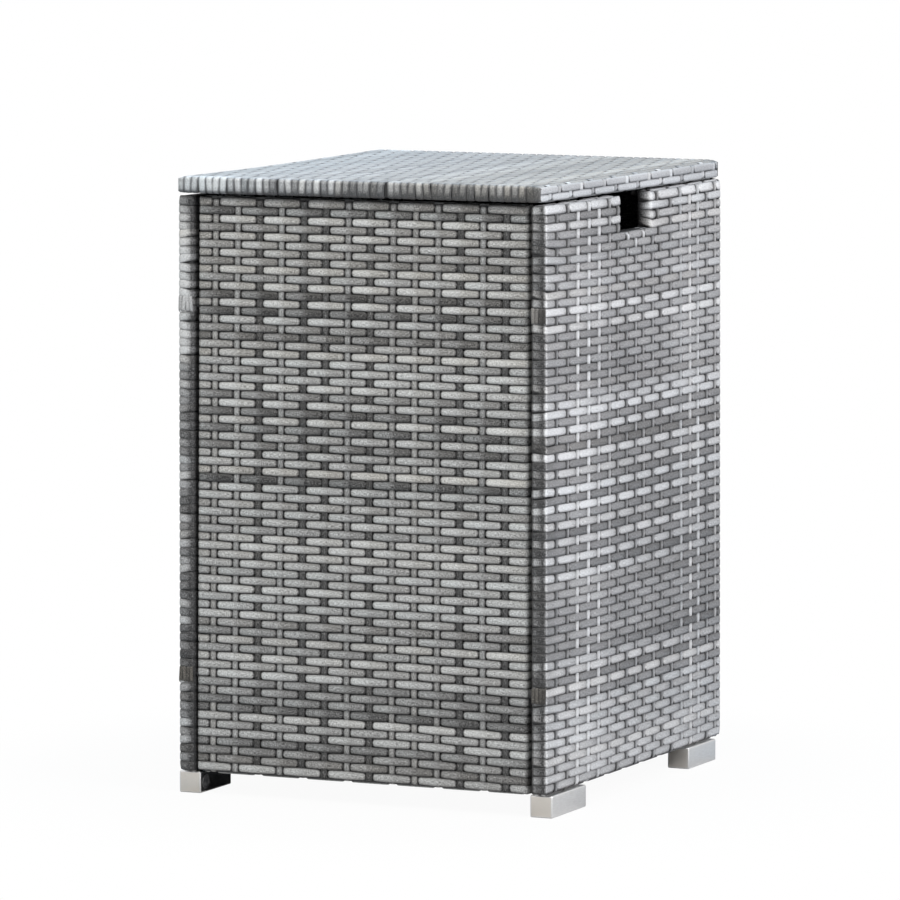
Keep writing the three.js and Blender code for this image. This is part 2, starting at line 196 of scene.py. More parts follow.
def sweep(centres, across, outward, widths, crown, thick, tone, shade, seed, groove=1.0, tint=None,
          sides=(1, 1), warm=0.0):
    """One strand: the half-round section carried along its centre line. Its foot has the full
    width, and crown is the share of it that the rounded top takes. groove is how dark its sides
    are painted, as shade, sides gives each side its share of that, tint runs from -1, cool, to 1,
    warm, and warm, a painted reflection, is added to it along the run."""
    count, ring = len(centres), len(strand_ring)
    wide, high = strand_ring.T
    share = np.where(high > foot_top, np.broadcast_to(crown, count)[:, None], 1)
    side = (wide * share)[:, :, None] * across[:, None, :] * (widths / 2)[:, None, None]
    half_thick = np.broadcast_to(thick, count)[:, None, None] / 2
    points = centres[:, None, :] + side + high[None, :, None] * outward[:, None, :] * half_thick
    k, j = np.arange(count - 1)[:, None], np.arange(ring)[None, :]
    here, beside = k * ring + j, k * ring + (j + 1) % ring
    quads = np.stack([here, beside, beside + ring, here + ring], -1).reshape(-1, 4)
    dice = np.random.default_rng(seed)
    start = dice.uniform(0, 9, 2)
    run = np.concatenate([[0], np.cumsum(np.linalg.norm(np.diff(centres, axis=0), axis=1))])
    u = run[:, None] + start[0] + np.zeros(ring + 1)
    v = np.arange(ring + 1) * ring_step + start[1] + np.zeros((count, 1))
    corners = [(k, j), (k, j + 1), (k + 1, j + 1), (k + 1, j)]
    uv = np.stack([np.stack([u[c], v[c]], -1) for c in corners], 2).reshape(-1, 2)
    shade = shade if np.ndim(shade) == 2 else shade[:, None]
    # Painted shade: the strand's sides and foot are made darker, by groove and sides.
    dark_sides = ring_painted_shade * np.where(wide > 0, *sides) * np.broadcast_to(groove, count)[:, None]
    tones = np.clip(tone + shade + dark_sides, 0, 1).ravel()
    tints = np.broadcast_to((dice.normal(0, 0.07) if tint is None else tint) + warm, count)
    return points.reshape(-1, 3), quads, uv, tones, np.repeat(tints, ring)


def build_strands(name, strands, place):
    """Joins strands into one mesh object with capped ends, a UV map, and a tone and a tint at
    each point. place turns along, up and depth of a panel into x, y and z."""
    ring, base, loops, sizes, uvs = len(strand_ring), 0, [], [], []
    for points, quads, uv, _, _ in strands:
        last = base + len(points) - ring
        loops += [(quads + base).ravel(), np.arange(base, base + ring)[::-1], np.arange(last, last + ring)]
        sizes += [np.full(len(quads), 4), [ring, ring]]
        uvs += [uv, np.tile(uv[:1], (ring, 1)), np.tile(uv[-1:], (ring, 1))]
        base += len(points)
    points, _, _, tones, tints = [np.concatenate(parts) for parts in zip(*strands)]
    loops, sizes = np.concatenate(loops), np.concatenate(sizes)
    starts = np.concatenate([[0], np.cumsum(sizes)[:-1]])
    mesh = bpy.data.meshes.new(name)
    mesh.vertices.add(len(points))
    mesh.vertices.foreach_set("co", vectors(*place(*points.T)).astype(np.float32).ravel())
    mesh.loops.add(len(loops))
    mesh.loops.foreach_set("vertex_index", loops.astype(np.int32))
    mesh.polygons.add(len(sizes))
    mesh.polygons.foreach_set("loop_start", starts.astype(np.int32))
    mesh.polygons.foreach_set("use_smooth", np.ones(len(sizes), bool))
    layer = mesh.uv_layers.new(name="strand_run")
    layer.data.foreach_set("uv", np.concatenate(uvs).astype(np.float32).ravel())
    for label, values in (("strand_tone_and_shade", tones), ("strand_tint_and_reflection", tints)):
        attribute = mesh.attributes.new(label, "FLOAT", "POINT")
        attribute.data.foreach_set("value", values.astype(np.float32))
    mesh.update()
    mesh.validate()
    return add_object(name, mesh)


def near(gap, span):
    """1 at no distance, falling evenly to 0 at the span."""
    return np.clip(1 - gap / span, 0, 1)


def dives(at, centres, reach):
    """1 where a strand passes under one of the centres, 0 between them, with steep shoulders."""
    return np.clip(np.exp(-(((at[:, None] - np.array(centres)) / reach) ** 6)).sum(1), 0, 1)


def fullness(at, centres, form):
    """How wide a weft's crown shows: full where it rides over a warp, less towards its dives,
    with its ends rounded off."""
    taper_run, round_from, round_run, neck = 24 * mm, 8.2 * mm, 3.6 * mm, 0.42
    away = np.abs(at[:, None] - np.array(centres)).min(1)
    taper = form["taper"] * near(away, taper_run) ** 2
    turned = np.clip((round_from - away) / round_run, 0, 0.97)
    rounded = form["round"] * (1 - np.sqrt(1 - turned ** 2))
    return full_crown - taper - neck * dives(at, centres, form["reach"] + 0.3 * mm) - rounded


def bow_share(at, centres):
    """How far each place is from one dive to the next, 0 to 1: the strand bows out over the
    warp that lies halfway. Past the first and the last dive it counts on by whole lengths."""
    whole = 48 * mm
    stops = np.array([centres[0] - whole, *centres, centres[-1] + whole])
    return np.interp(at, stops, np.arange(len(stops))) % 1


def dip_stations(under):
    """Stations that draw each dip well, with one halfway to the next."""
    offsets = (-21, -12, -7.6, -6.4, -5.4, -4.6, -3.8, -2.6, 2.6, 3.8, 4.6, 5.4, 6.4, 7.6, 12, 21)
    return [at + offset * mm for at in under for offset in offsets]


def thinned(stations):
    """The stations in order, leaving out those that come too soon after the one before."""
    least_gap = 0.6 * mm
    s = np.unique(np.round(stations, 5))
    return s[np.concatenate([[True], np.diff(s) > least_gap])]


def level(along, drop):
    return np.zeros(np.shape(along))


# Two ways in which strand sits in its weave. Shares: bulk of a weft's thickness, taper and round
# of its crown's narrowing and rounding at a dive, groove and edge how dark its sides are painted,
# as shade, on the face and round the edges, sides and cross how much of that each side of a weft
# and of a warp takes, cast how much cooler the half of a length painted as lit is made, as a
# painted reflection, and how much warmer the other, hollow how dark a shadow is painted on one
# side of a warp. Lengths: lag from a dive's middle to that of its painted shade, warp a warp's
# width, deep how far it lies below the face, wave by how much that varies, reach half a dive's
# width.
firm = dict(bulk=1.0, taper=0.23, round=0.0, groove=1.0, edge=1.1, sides=(1, 1), cross=(1, 1),
            cast=0.9, hollow=0.0, lag=0.0, warp=7.0 * mm, deep=1.75 * mm, wave=0.6 * mm, reach=4.6 * mm)
soft = dict(bulk=0.96, taper=0.06, round=0.5, groove=0.9, edge=1.5, sides=(0.5, 1.8), cross=(0, 0),
            cast=0.0, hollow=1.1, lag=1.4 * mm, warp=7.8 * mm, deep=1.25 * mm, wave=0.12 * mm,
            reach=5.2 * mm)
# plain paints no light or shade where a strand turns an edge.
plain = (0.0, 0.0, 0.0, 0.0)  # no change of grey where a strand turns an edge


def weft_stations(knots, dips):
    """Where a weft is drawn: its ends, the bends round both edges, and its dips on the face."""
    bends = [np.linspace(knots[k], knots[k + 1], count) for k, count in ((3, 7), (5, 7), (1, 4), (7, 4))]
    ends = [0, 2 * mm, 5 * mm, knots[9] - 5 * mm, knots[9] - 2 * mm, knots[9]]
    edges = [(knots[first] + knots[last]) / 2 for first, last in (near_edge, far_edge)]
    face = [s for s in dips if knots[4] + 3 * mm < s < knots[5] - 3 * mm]
    return thinned([*ends, *edges, *np.concatenate(bends), *face])


def weft(start, length, height, width, under, tone, seed, sag=level, slant=0.0, patched=(),
         edges=(plain, plain), loose=0.4, form=firm, tint=None, roll=0.0, wash=level, bow=None):
    """A face weft from the edge at start: it dives under the warps at under, and stands proud
    between them. sag lowers it along its run, slant tips it near its first edge, patched names
    the edges where a patch covers it, edges paints light and shade round both, its third grey a
    highlight on the bend, and loose unsettles it there. roll turns the rows beside a rim over to
    it, wash paints light and shade along its run, and bow on each length of it. Where it dives and
    behind the panel it is painted darker, as shade."""
    dice = np.random.default_rng(seed)
    knots = wrap_knots(length)
    edge_from, edge_to, face_from, face_to, _, far_edge_to, _, end = knots[2:]
    shift, drop = face_from - radius - start, 1 - height / panel_height
    s = weft_stations(knots, [at + shift for at in dip_stations(under)])
    here, on_face = s - shift, np.clip(s - shift, start, start + length)
    along, depth, out_along, out_depth = wrap_path(length, s)
    on_edge = np.clip(np.maximum(face_from - s, s - face_to) / radius, 0, 1)
    full = fullness(here, under, form)

    sink = form["bulk"] * (weft_depth - edge_rise * on_edge)
    sink += dive_depth * dives(here, under, form["reach"]) + neck_depth * np.clip(0.97 - full, 0, 0.24)
    sink += end_depth * near(np.minimum(s, end - s), end_run) ** 2
    for first, last in patched:
        sink += patch_depth * ((s > knots[first] - 1 * mm) & (s < knots[last] + 1 * mm))
    sway = dice.uniform(0, 6.28)
    up = height - sag(on_face, drop) + ripple * np.sin(here * 38 + sway) + dice.normal(0, 1) * unevenness
    for gone in (s, end - s):
        tip = np.interp(gone, [edge_from, face_from, face_from + settle], [1.2, -0.5, 0])
        up += tip * dice.normal(0, loose) * mm
    up += slant * np.clip((face_from + settle - s) / (2 * settle), 0, 1)
    full += (full_crown - full) * on_edge
    roll = roll * (1 - 0.7 * on_edge)[:, None]
    sink, up = sink + roll_depth * np.abs(np.sin(roll[:, 0])), up - roll_drop * np.sin(roll[:, 0])
    centres = vectors(start + along - out_along * sink, up, depth - out_depth * sink)
    flat, upward = vectors(out_along, 0, out_depth), np.array([0.0, 1.0, 0.0])
    outward = flat * np.cos(roll) + upward * np.sin(roll)
    across = upward * np.cos(roll) - flat * np.sin(roll)
    widths = width + dice.normal(0.35, 0.05) * mm + 0.5 * loose * mm * on_edge
    thick = form["bulk"] * weft_thick * (1 - 0.4 * on_edge)

    mottle = 0.07 * np.sin(here * dice.uniform(5, 14) + sway) + 0.03 * np.sin(here * 61 + sway)
    # Painted light and shade on each length, which also makes its lit half cooler and the rest warmer, as a
    # painted reflection.
    bow_shading = bow(bow_share(here, under), drop, tone) * (1 - on_edge) if bow else np.zeros(len(s))
    shadow = dive_shade * form["groove"] * dives(here + form["lag"], under, form["reach"] + 0.2 * mm)
    shade = mottle + wash(on_face, drop) + bow_shading - shadow
    # Round each edge the greys of edges are painted as light and shade, the third a painted highlight two
    # thirds round the bend.
    turn = [edge_from, edge_to, edge_to + (face_from - edge_to) * 2 / 3, face_from, face_from + 3 * mm]
    for gone, greys in ((s, edges[0]), (end - s, edges[1])):
        shade += np.interp(gone, turn, [*greys, 0])
        shade += dice.normal(0, 0.1 * loose) * np.clip((face_from - gone) / (3 * mm), 0, 1)
    hidden = np.clip((np.maximum(edge_from - s, s - far_edge_to) + 1 * mm) / (2.5 * mm), 0, 1)
    groove = form["groove"] + (form["edge"] - form["groove"]) * on_edge
    return sweep(centres, across, outward, widths, full, thick, tone, shade - hidden_shade * hidden,
                 seed, groove, tint, form["sides"], -form["cast"] * bow_shading)


def rim_weft(first, last, length, place_s, under, tone, seed, width, form=firm):
    """A weft that lies along the panel's top or bottom edge, or behind it, woven through the
    warps, with both ends bent in under the strands that turn the corner."""
    end = last - first
    inner = [s - first for s in dip_stations(under) if first + dive_clear < s < last - dive_clear]
    here = thinned([0, 1.5 * mm, 4 * mm, *inner, end - 4 * mm, end - 1.5 * mm, end])
    along, depth, out_along, out_depth = wrap_path(length, np.full(len(here), place_s))
    dive, bent = dives(here + first, under, form["reach"]), near(np.minimum(here, end - here), 4 * mm)
    rim_depth, rim_dive, rim_end = 0.8 * mm, 1.5 * mm, 2.2 * mm
    sink = rim_depth + rim_dive * dive + rim_end * bent ** 2
    centres = vectors(first + here, along - out_along * sink, depth - out_depth * sink)
    outward, across = vectors(0, out_along, out_depth), vectors(0, out_depth, -out_along)
    shade = 0.05 * np.sin(here * 23 + seed) - dive_shade * dives(here + first, under, 4.8 * mm)
    return sweep(centres, across, outward, np.full(len(here), width), fullness(here + first, under, form),
                 weft_thick, tone, shade, seed, form["groove"], sides=form["sides"])


def warp(at, length, row_places, parity, tone, seed, drift=level, form=firm, face=0.0, crest=0.0,
         tuck=0.0):
    """A warp: it shows over every second weft and dives under the others, all round. drift
    moves it sideways down its run, face is the grey painted on it between the rims, as light and
    shade, crest the light painted on it at the top rim, and tuck is how far down from there it
    lies hidden under the wefts. Where it dives it is painted darker, as shade, and hollow paints a
    shadow on one side of it."""
    rim_dive, rim_run, warp_end, tuck_depth = 1.6 * mm, 4 * mm, 2.0 * mm, 1.5 * mm
    dice = np.random.default_rng(seed)
    face_from, face_to, _, _, _, end = wrap_knots(length)[4:]
    count = len(row_places)
    quarters = np.interp(np.arange(-3, 4 * count - 1) / 4, np.arange(count), row_places)
    s = thinned([0, 1.5 * mm, *quarters, end - 1.5 * mm, end])
    along, depth, out_along, out_depth = wrap_path(length, s)
    proud = np.cos(math.pi * (np.interp(s, row_places, np.arange(count)) + parity))
    beside_rim = sum(np.exp(-((s - row_places[k]) / rim_run) ** 2) for k in (4, -5))
    sink = form["deep"] - form["wave"] * proud + rim_dive * beside_rim * np.clip(-proud, 0, 1)
    sink += warp_end * near(np.minimum(s, end - s), end_run) ** 2
    sink += tuck_depth * np.clip((tuck - np.abs(face_to - s)) / (3 * mm), 0, 1)
    sway = dice.uniform(0, 6.28)
    side = at + 0.3 * mm * np.sin(s * 21 + sway) + drift(at, 1 - along / panel_height)
    centres = vectors(side, along - out_along * sink, depth - out_depth * sink)
    outward, across = vectors(0, out_along, out_depth), np.tile([-1.0, 0.0, 0.0], (len(s), 1))
    widths = form["warp"] * (1 - 0.1 * np.clip(-proud, 0, 1))
    # Painted shade where it dives under the wefts.
    shade = 0.04 * np.sin(s * 17 + sway) - 0.6 * ((1 - proud) / 2) ** 1.5
    # Painted light and shade: face between the rims, crest at the top rim.
    shade += face * np.clip(np.minimum(s - face_from, face_to - s) / (2 * mm), 0, 1)
    shade += crest * np.clip(1.4 - np.abs(s - face_to) / (14 * mm), 0, 1)
    # A shadow painted on one side, where a weft's end stands over it.
    one_side = np.interp(strand_ring[:, 0], [-0.4, 0.4, 0.77, 1], [0, 0.35, 0.8, 1])
    shade = shade[:, None] - one_side * form["hollow"] * (1.15 - tone)
    return sweep(centres, across, outward, widths, 1.0, warp_thick, tone, shade, seed, sides=form["cross"])


def row_height(row):
    """Height of a weft above the panel's bottom edge, the first at the top. The weaver packs
    the courses a little closer towards the top."""
    return panel_height - (1 * mm + top_pitch * (row + 0.5) + pitch_growth * (row + 0.5) ** 2)


def row_pitch(row):
    return top_pitch + 2 * pitch_growth * row


def band_tones(bands, seed):
    """Strand greys of all rows, 0 dark to 1 near white. Each band is (its first row, the grey of
    its even rows, that of its odd rows)."""
    dice = np.random.default_rng(seed)
    tones = np.zeros(row_count)
    for row in range(row_count):
        band = [band for band in bands if band[0] <= row][-1]
        tones[row] = band[1 + row % 2] + dice.normal(0, 0.035)
    return np.clip(tones, 0, 1)


def edge_rows(length, rows):
    """Places of all courses round a panel, in order from behind its low edge to behind its high
    edge: two behind, two on the rim, the face, two on the rim and two behind."""
    knots = wrap_knots(length)
    low = [knots[1] - 7 * mm, knots[1] - 0.3 * mm, knots[2] + 0.2 * mm, knots[3] - 1.6 * mm]
    high = [knots[9] - place for place in reversed(low)]
    return low + sorted(knots[4] - radius + height for height in rows) + high


rim_inset, behind_inset = 2.5 * mm, 13 * mm  # of the rims' ends, and more behind the panel
sill_depth = 2.2 * mm  # of the notch's cut warps below its sill
rim_courses = (0, 1, 2, 3, -4, -3, -2, -1)  # which of edge_rows are rims
behind_panel = (0, 1, -2, -1)  # and which of these lie behind
rim_width, sill_width = 5.8 * mm, 6.6 * mm


def face_wefts(width, tones, seed, passed, notch, slants, patched, edges, loose, flare, common):
    """The wefts of a face, row by row, in two lengths where a notch cuts them. The top row is
    wider, and it and the bottom row roll towards their rims."""
    wefts, top_extra = [], 1.2 * mm
    rolls = {0: 0.15, row_count - 1: -0.15}
    for row in range(row_count):
        height, extra = row_height(row), top_extra if row == 0 else 0
        drop = 1 - height / panel_height
        left, under = -width / 2 - flare * drop, passed(row, drop)
        spans = [(left, width / 2, tones[row], edges)]
        if notch and height > panel_height - notch["depth"]:
            half = notch["width"] / 2
            spans = [(left, -half, tones[row], (edges[0], plain)),
                     (half, width / 2, notch["far_tones"][row], (notch["cheek"], edges[1]))]
        for k, (first, last, tone, greys) in enumerate(spans):
            inside = [at for at in under if first + dive_clear < at < last - dive_clear]
            wefts.append(weft(first, last - first, height + extra / 2, row_pitch(row) + extra, inside, tone,
                              seed * 1000 + row * 3 + k, slant=slants.get(row, 0.0) * mm,
                              patched=patched.get(row, ()), edges=greys, loose=loose,
                              roll=rolls.get(row, 0), **common))
    return wefts


def finish_weave(pieces, material, body, node_name):
    for piece in pieces:
        piece.data.materials.append(material)
        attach(piece, body)
    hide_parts(node_name)


def weave_panel(name, strand, width, warps, warp_tones, tones, place, seed, notch=None, slants=None,
                patched=None, edges=(plain, plain), loose=0.4, flare=0.0, drift=level, sag=level,
                patches=(), form=firm, begin=0, wash=level, bow=None):
    """One upright panel: its upper wefts, its lower wefts with the rims, and its warps. With
    begin at 1 the top row passes over the first warp and not under it."""
    def passed(number, drop):
        """The warps that a weft of this number dives under."""
        return [at + drift(at, drop) for j, at in enumerate(warps, begin) if (j + number) % 2 == 0]

    dice = np.random.default_rng(seed)
    half, deep = (notch["width"] / 2, notch["depth"]) if notch else (0, 0)
    wefts = face_wefts(width, tones, seed, passed, notch, slants or {}, patched or {}, edges, loose,
                       flare, dict(sag=sag, form=form, wash=wash, bow=bow))
    heights = [row_height(row) for row in range(row_count)]
    order, reach = edge_rows(panel_height, heights), width / 2 - rim_inset
    for k in rim_courses:
        inset = behind_inset if k in behind_panel else 0
        spans, under = [(inset - reach, reach - inset)], passed(k % len(order) + 1, float(k >= 0))
        if notch and k < 0:
            spans = [(inset - reach, -half - rim_inset), (half + rim_inset, reach - inset)]
        for first, last in spans:
            wefts.append(rim_weft(first, last, panel_height, order[k], under, 0.66 + 0.24 * dice.random(),
                                  seed * 1000 + 300 + k, rim_width, form))

    short, uprights = panel_height - deep - sill_depth, list(patches)
    for j, at in enumerate(warps):
        top = at + drift(at, 0.0)
        cut = bool(notch) and abs(top) < half + 1 * mm
        beside = bool(notch) and half < top < half + 6 * mm
        length = short if cut else panel_height
        local = [height - sag(at, 1 - height / panel_height) for height in heights]
        rows = edge_rows(length, [height for height in local if height < length - 2 * mm])
        # The cut warps under the notch are painted lighter over the sill, as light.
        uprights.append(warp(at, length, rows, j + begin + 1, warp_tones[j], seed * 1000 + 500 + j,
                             drift, form, crest=0.4 * cut, tuck=deep * beside))
    if notch:
        order = edge_rows(short, [height for height in heights if height < short])
        for k in rim_courses[4:]:
            under = passed(k % len(order) + 1, 0.06)
            wefts.append(rim_weft(-half - 1 * mm, half + 1 * mm, short, order[k], under,
                                  0.72 + 0.2 * dice.random(), seed * 1000 + 340 + k, sill_width, form))
    pieces = [build_strands(f"{name}_wefts_upper", wefts[:rows_above_split], place),
              build_strands(f"{name}_wefts_lower", wefts[rows_above_split:], place),
              build_strands(f"{name}_warps", uprights, place)]
    finish_weave(pieces, strand, "cabinet", f"{name}_weave")


def strand_material(name, dark, middle, light, gloss, streaks, specks):
    """Extruded resin strand: its grey from the strand, which also carries the light and shade painted
    into it, fine grain drawn along its run, a satin skin and small specks where the colours were
    mixed."""
    material, tree, shader = new_material(name, 0.0, gloss)
    run = add_node(tree, "UVMap", uv_map="strand_run").outputs["UV"]
    drawn = add_node(tree, "Mapping", {"Vector": run, "Scale": (1.0, 7.0, 1.0)}).outputs["Vector"]
    grain, speck = noise(tree, drawn, 300, 6, 0.7), noise(tree, run, 900, 3, 0.6)
    grey = add_node(tree, "Attribute", attribute_name="strand_tone_and_shade").outputs["Fac"]
    for cloud, strength in ((grain, streaks), (speck, specks)):
        change = spread(tree, cloud, -strength, strength, 0.3, 0.7)
        grey = add_node(tree, "Math", {0: grey, 1: change}, operation="ADD").outputs[0]
    colour = ramp(tree, grey, [(0.0, dark), (0.5, middle), (1.0, light)])
    # The tint holds each length's own cast and the painted reflection, cooler on one half and warmer on the
    # other.
    tint = add_node(tree, "Attribute", attribute_name="strand_tint_and_reflection").outputs["Fac"]
    cast = ramp(tree, spread(tree, tint, 0, 1, -1, 1),
                [(0.0, (0.86, 0.97, 1.0)), (0.5, (1.0, 1.0, 1.0)), (1.0, (1.0, 0.9, 0.74))])
    both = add_node(tree, "VectorMath", {0: colour, 1: cast}, operation="MULTIPLY").outputs[0]
    finish_skin(tree, shader, both, (grain, 0.28, 0.56), (grain, 0.6, 0.5 * mm))
    return material


panel_strand = strand_material("panel_strand_grey", (0.017, 0.0165, 0.0165), (0.25, 0.247, 0.244),
                               (0.66, 0.665, 0.655), 0.4, 0.36, 0.26)
first_warp, warp_pitch = -157.7 * mm, 24.25 * mm
front_warps = [first_warp + warp_pitch * j for j in range(14)]
front_warp_tones = [0.56, 0.56, 0.08, 0.52, 0.08, 0.1, 0.5, 0.1, 0.5, 0.52, 0.5, 0.08, 0.5, 0.1]
front_bands = [(0, 0.52, 0.44), (2, 0.7, 0.56), (6, 0.7, 0.5), (11, 0.72, 0.28), (15, 0.4, 0.56),
               (17, 0.7, 0.66), (22, 0.72, 0.48), (25, 0.72, 0.3), (30, 0.72, 0.68), (33, 0.7, 0.12),
               (34, 0.68, 0.66), (50, 0.44, 0.54), (52, 0.7, 0.56), (55, 0.7, 0.68), (57, 0.42, 0.5),
               (59, 0.24, 0.34), (61, 0.68, 0.7), (64, 0.4, 0.46), (66, 0.26, 0.66)]


def front_place(along, up, depth):
    return along, front_face + depth, body_bottom + up


def front_drift(along, drop):
    """The warps lean to the left on their way down, most on the left."""
    share = (along + 0.18) / 0.36
    return -(2.0 + drop * (6.8 - 7 * share) + 1.6 * share * np.sin(math.pi * drop)) * mm


def front_sag(along, drop):
    """The courses hang up to 1 mm low, and more near the bottom right."""
    right = np.clip((along - 0.05) / 0.13, 0, 1) * np.interp(drop, [0.72, 0.9, 0.97, 1], [0, 2.4, 2.6, 1])
    return (np.interp(drop, [0, 0.08, 0.85, 1], [0, 0.9, 0.5, 0]) + right) * mm


def front_bow_shading(share, drop, tone):
    """Painted light and shade: a length bows out over the warp behind it, and the half that turns
    to the light is painted lighter and the other half darker, most on the darker strand."""
    turned, darker = np.interp(share, [0.42, 0.6], [0, 1]), np.clip(0.6 - tone, 0, 0.4)
    bow_shading = 0.05 - turned * (0.05 + np.interp(drop, [0.15, 0.5, 1], [0.15, 0.11, 0.04]))
    return bow_shading * (1 + 2.4 * darker) + 0.24 * darker


weave_panel("front", panel_strand, front_width, front_warps, front_warp_tones,
            band_tones(front_bands, 3), front_place, 1, flare=4.6 * mm, drift=front_drift,
            sag=front_sag, slants={4: -1.0, 9: 1.2, 11: -1.4, 43: 1.0, 58: 0.8}, bow=front_bow_shading)


# Back panel. It is the front panel's twin, bolted in at the back, from its own lengths of the
# same mixed grey strand.
def back_place(along, up, depth):
    return -along, back_face - depth, body_bottom + up


back_face = measured("back_weave")[1][1]
back_bands = [(0, 0.7, 0.5), (9, 0.72, 0.3), (15, 0.7, 0.68), (27, 0.74, 0.4), (35, 0.5, 0.3),
              (41, 0.7, 0.66), (56, 0.3, 0.62), (61, 0.7, 0.72)]
back_warp_tones = [0.6, 0.24, 0.6, 0.62, 0.22, 0.6, 0.24, 0.6, 0.6, 0.22, 0.24, 0.6, 0.6, 0.22]
weave_panel("back", panel_strand, front_width, front_warps, back_warp_tones,
            band_tones(back_bands, 5), back_place, 2, bow=front_bow_shading)


# Right side panel, with the hose notch in the middle of its top edge. Its wefts turn the corner
# onto the front post. The top four are in two lengths, which also turn in round the notch's
# cheeks, and the warps under the notch turn in over its sill.
_, (right_face, _, _), (_, side_width, _) = measured("right_weave")
side_warps = [y * mm for y in (-200, -173, -148, -120.5, -95, -69, -48, -25.5, -2, 17, 41.5, 62, 87,
                               112, 137, 158, 182, 205.5)]
right_warp_tones = [0.45, 0.5, 0.94, 0.95, 0.88, 0.68, 0.5, 0.5, 0.6, 0.55, 0.56, 0.45, 0.5, 0.76,
                    0.92, 0.88, 0.55, 0.7]
right_bands = [(0, 0.78, 0.38), (2, 0.84, 0.4), (4, 0.48, 0.44), (9, 0.5, 0.46), (12, 0.8, 0.36),
               (15, 0.42, 0.38), (22, 0.56, 0.76), (24, 0.8, 0.3), (27, 0.3, 0.3), (29, 0.28, 0.78),
               (44, 0.4, 0.36), (50, 0.46, 0.3), (52, 0.3, 0.54), (54, 0.58, 0.26), (56, 0.8, 0.28),
               (58, 0.67, 0.66)]
right_slants = {4: 3.0, 5: 3.4, 6: 1.8, 7: 1.0, 9: 1.4, 24: -1.6, 34: -2.4, 35: -1.2, 55: 1.4}
# The cheek greys paint the notch's cheeks darker inwards, as shade, with a painted highlight on the corner.
hose_notch = dict(width=76 * mm, depth=35 * mm, far_tones=(0.76, 0.68, 0.56, 0.54),
                  cheek=(-0.5, 0.2, 0.3, 0.16))
patch_heights = ((462 * mm, 480 * mm), (90 * mm, 108 * mm))
patch_rows = (12, 13, 56, 57)  # the courses that these cover


def upright_patch(side, heights, tones, seed, tint=0.0):
    """Short upright strands that close the post where the bolt head was reached: side is -1 for
    the panel's first edge and 1 for its last."""
    strands, (low, high), stations, margin = [], heights, 9, 0.9 * mm
    for k, tone in enumerate(tones):
        depth = margin + (k + 0.5) * (thickness - 2 * margin) / len(tones)
        up = np.linspace(low, high, stations)
        bend = near(np.minimum(up - low, high - up), 3 * mm) ** 2
        rounded = radius - np.sqrt(radius ** 2 - max(radius - depth, depth - thickness + radius, 0) ** 2)
        sink = (0.1 + 2.2 * bend) * mm + rounded
        lean = np.random.default_rng(seed + k).normal(0, 0.4) * mm * np.linspace(-1, 1, stations)
        centres = vectors(side * (side_width / 2 - sink), up, depth + lean)
        outward, across = [np.tile(way, (stations, 1)) for way in ([side, 0.0, 0.0], [0.0, 0.0, -side])]
        widths = np.full(stations, lap / len(tones))
        # The ends, where they bend in, are painted darker as shade.
        strands.append(sweep(centres, across, outward, widths, 1.0, 0.9 * mm, tone, -0.4 * bend,
                             seed + k, 0.4, tint))
    return strands


def right_place(along, up, depth):
    """Sets the panel upright: it leans 1.2 mm outward at the bottom and reaches 2.4 mm further
    back there, and its back top corner stands 1.7 mm higher."""
    low, back = 1 - up / panel_height, np.clip(along / (side_width / 2), 0, 1)
    x = right_face - depth + 1.2 * mm * low
    y = along + 2.4 * mm * low * back
    return x, y, body_bottom + up + 1.7 * mm * back * np.clip(1 - 3 * low, 0, 1)


def right_drift(along, drop):
    """The warps lean to the back on their way down. Those beside the notch crowd towards it, and
    those under it sway below the sill."""
    top = np.interp(along, [-0.2, -0.14, -0.09, 0, 0.06, 0.11, 0.16, 0.2],
                    [3.5, 4, 3, 2, 1.5, 3.8, 4.6, 3.5])
    foot = np.interp(along, [-0.2, -0.09, 0, 0.06, 0.11, 0.16, 0.2], [1, 0.8, 4, 7, 9, 8, 5])
    beside = np.interp(along, [0.035, 0.0415, 0.055, 0.062, 0.07], [0, 0, -6, -8, 0])
    sill = np.interp(along, [-0.03, -0.0255, -0.018, 0.01, 0.017, 0.022], [0, 1, 0, 0, 0.2, 0])
    beside *= np.interp(drop, [0.035, 0.06, 0.12], [1, 0.5, 0])
    sill *= np.interp(drop, [0.052, 0.074, 0.11], [-3, 4.5, 0])
    return (top + (foot - top) * drop + beside + sill) * mm


def right_sag(along, drop):
    """The courses start level on the front post and settle 5 mm lower towards the back."""
    run = np.interp(along, [-0.225, -0.19, -0.15, -0.1, -0.06, 0, 0.06],
                    [0, 0.25, 0.5, 0.75, 0.85, 0.94, 1])
    low = np.interp(drop, [0, 0.03, 0.06, 0.12, 0.4, 0.92, 1], [0.5, 2.4, 3.4, 3.9, 5.3, 5.2, 0])
    return run * low * mm


def right_painted_shading(along, drop):
    """Painted light and shade: the upper rows are painted paler towards the back, the lower middle
    rows darker there, and the middle and lower ones paler towards the front."""
    back = np.interp(along, [-0.2, -0.17, -0.1, 0.03, 0.13], [0.05, 0.05, 0, 0, 0.13])
    front = np.interp(along, [-0.222, -0.21, -0.12, -0.03], [-0.06, 0.07, 0.07, 0])
    back *= np.interp(drop, [0, 0.3, 0.46, 0.6, 0.8, 1], [1, 0.9, 0.2, -0.5, -0.5, 0.3])
    return back + front * np.interp(drop, [0.3, 0.4, 0.9, 1], [0, 1, 1, 0.5])


def side_bow_shading(share, drop, tone):
    """Painted shade: each length is painted darker towards its far dive, most on the paler strand."""
    turned = np.interp(share, [0.5, 0.62, 0.7, 0.78, 0.85], [0, -0.02, -0.05, -0.12, -0.16])
    lift = np.interp(tone, [0.35, 0.55, 0.75], [0.03, 0.02, -0.04])
    return turned * np.interp(tone, [0.4, 0.65], [0.35, 1]) + lift


